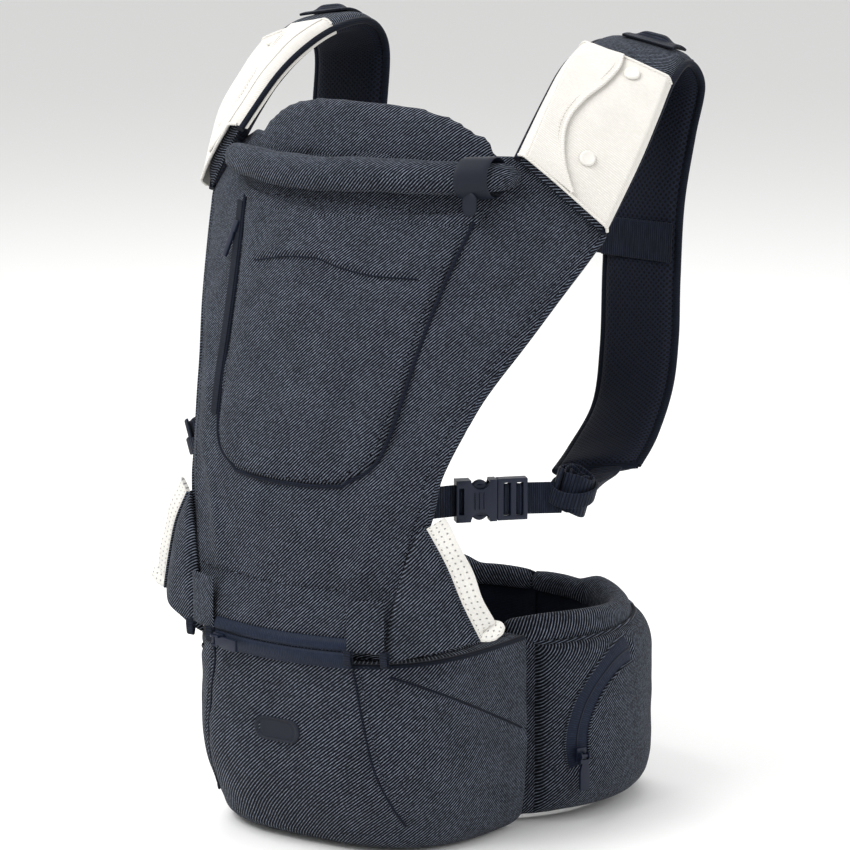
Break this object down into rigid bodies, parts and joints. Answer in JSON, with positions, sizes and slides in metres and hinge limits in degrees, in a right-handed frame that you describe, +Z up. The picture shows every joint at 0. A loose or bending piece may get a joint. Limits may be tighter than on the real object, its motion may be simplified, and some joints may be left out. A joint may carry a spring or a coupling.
{
  "type": "soft baby carrier",
  "caption": "Hip-seat baby carrier: padded seat on a waist belt, zip-on front panel with head support, rolled hood and shoulder straps with side buckles.",
  "frame": {"origin": "centre of the hip seat's flat base", "axes": "+Z up, +Y towards the wearer, the seat's front faces -Y, the carrier's R side is +X"},
  "size_m": [0.4118, 0.3869, 0.6257],
  "materials": {
    "twill": "matte",
    "lining": "matte",
    "strap_mesh": "matte",
    "leg_mesh": "matte",
    "cotton": "matte",
    "webbing": "matte",
    "zip_tape": "satin",
    "plastic": "satin",
    "snap": "satin",
    "rubber": "matte",
    "foam": "matte"
  },
  "bodies": {
    "root": {"seat_core": "foam", "seat_base_board": "plastic", "seat_cover": "twill", "seat_top_pad": "twill", "belly_pad": "lining", "seat_badge": "rubber", "seat_zip_tape": "zip_tape"},
    "seat_slider": {"seat_zip_slider": "plastic"},
    "seat_puller": {"seat_zip_puller": "plastic"},
    "belt_R": {"belt_pad_R": "twill", "belt_lining_R": "lining", "pocket_zip_tape": "zip_tape", "waist_web_R": "webbing", "waist_plug": "plastic"},
    "pocket_slider": {"pocket_zip_slider": "plastic"},
    "pocket_puller": {"pocket_zip_puller": "plastic"},
    "belt_L": {"belt_pad_L": "twill", "belt_lining_L": "lining", "waist_web_L": "webbing", "waist_socket": "plastic"},
    "panel": {"panel_cover": "twill", "panel_lining": "lining", "window_panel": "twill", "window_zip_tape": "zip_tape", "panel_zip_tape": "zip_tape", "loop_band_R": "twill", "loop_band_L": "twill", "wing_R": "twill", "wing_L": "twill", "leg_trim_R": "leg_mesh", "leg_trim_L": "leg_mesh", "side_web_R": "webbing", "side_web_L": "webbing", "strap_socket_R": "plastic", "strap_socket_L": "plastic", "hood_roll": "twill", "hood_tab": "rubber"},
    "window_slider": {"window_zip_puller": "plastic"},
    "head": {"head_support": "twill"},
    "strap_R": {"strap_pad_R": "twill", "strap_mesh_R": "strap_mesh", "bib_R": "cotton", "bib_snaps_R": "snap", "shoulder_tab_R": "webbing", "back_strap_R": "webbing", "adjuster_web_R": "webbing", "back_clasp_tongue": "plastic"},
    "lead_R": {"lead_web_R": "webbing", "strap_plug_R": "plastic"},
    "strap_L": {"strap_pad_L": "twill", "strap_mesh_L": "strap_mesh", "bib_L": "cotton", "bib_snaps_L": "snap", "shoulder_tab_L": "webbing", "back_strap_L": "webbing", "adjuster_web_L": "webbing", "back_clasp_channel": "plastic"},
    "lead_L": {"lead_web_L": "webbing", "strap_plug_L": "plastic"}
  },
  "joints": [
    {"name": "panel_fold", "type": "hinge", "parent": "root", "child": "panel", "pos_m": [0, -0.1118, 0.169], "axis": [1, 0, 0], "range_deg": [0, 88]},
    {"name": "head_fold", "type": "hinge", "parent": "panel", "child": "head", "pos_m": [0, 0.0435, 0.5325], "axis": [-1, 0, 0], "range_deg": [0, 35]},
    {"name": "strap_R_swing", "type": "hinge", "parent": "panel", "child": "strap_R", "pos_m": [0.16, 0.048, 0.512], "axis": [0.7317, -0.6816, 0], "range_deg": [0, 12]},
    {"name": "lead_R_turn", "type": "hinge", "parent": "strap_R", "child": "lead_R", "pos_m": [0.162, 0.05, 0.275], "axis": [0.7317, -0.6816, 0], "range_deg": [-12, 0]},
    {"name": "strap_L_swing", "type": "hinge", "parent": "panel", "child": "strap_L", "pos_m": [-0.16, 0.048, 0.512], "axis": [0.7317, 0.6816, 0], "range_deg": [0, 12]},
    {"name": "lead_L_turn", "type": "hinge", "parent": "strap_L", "child": "lead_L", "pos_m": [-0.162, 0.05, 0.275], "axis": [0.7317, 0.6816, 0], "range_deg": [-12, 0]},
    {"name": "belt_R_swing", "type": "hinge", "parent": "root", "child": "belt_R", "pos_m": [0.126, 0.06, 0.08], "axis": [0, 0, -1], "range_deg": [0, 50]},
    {"name": "belt_L_swing", "type": "hinge", "parent": "root", "child": "belt_L", "pos_m": [-0.126, 0.06, 0.08], "axis": [0, 0, 1], "range_deg": [0, 50]},
    {"name": "seat_zip_run", "type": "slide", "parent": "root", "child": "seat_slider", "axis": [0.98, -0.199, 0], "range_m": [0, 0.04]},
    {"name": "seat_puller_lift", "type": "hinge", "parent": "seat_slider", "child": "seat_puller", "pos_m": [-0.05576, -0.11208, 0.1639], "axis": [0, 0, -1], "range_deg": [0, 80]},
    {"name": "pocket_zip_run", "type": "hinge", "parent": "belt_R", "child": "pocket_slider", "pos_m": [0.17474, 0.15432, 0.066], "axis": [-0.9336, 0.3584, 0], "range_deg": [0, 55]},
    {"name": "pocket_puller_lift", "type": "hinge", "parent": "pocket_slider", "child": "pocket_puller", "pos_m": [0.15762, 0.09019, 0.058], "axis": [-0.3584, -0.9336, 0], "range_deg": [0, 80]},
    {"name": "window_zip_run", "type": "slide", "parent": "panel", "child": "window_slider", "axis": [0.1309, -0.4026, -0.906], "range_m": [0, 0.03]}
  ],
  "couplings": [
    {"joint": "strap_L_swing", "follows": "strap_R_swing", "ratio": 1},
    {"joint": "lead_R_turn", "follows": "strap_R_swing", "ratio": -1},
    {"joint": "lead_L_turn", "follows": "strap_R_swing", "ratio": -1},
    {"joint": "belt_L_swing", "follows": "belt_R_swing", "ratio": 1}
  ]
}
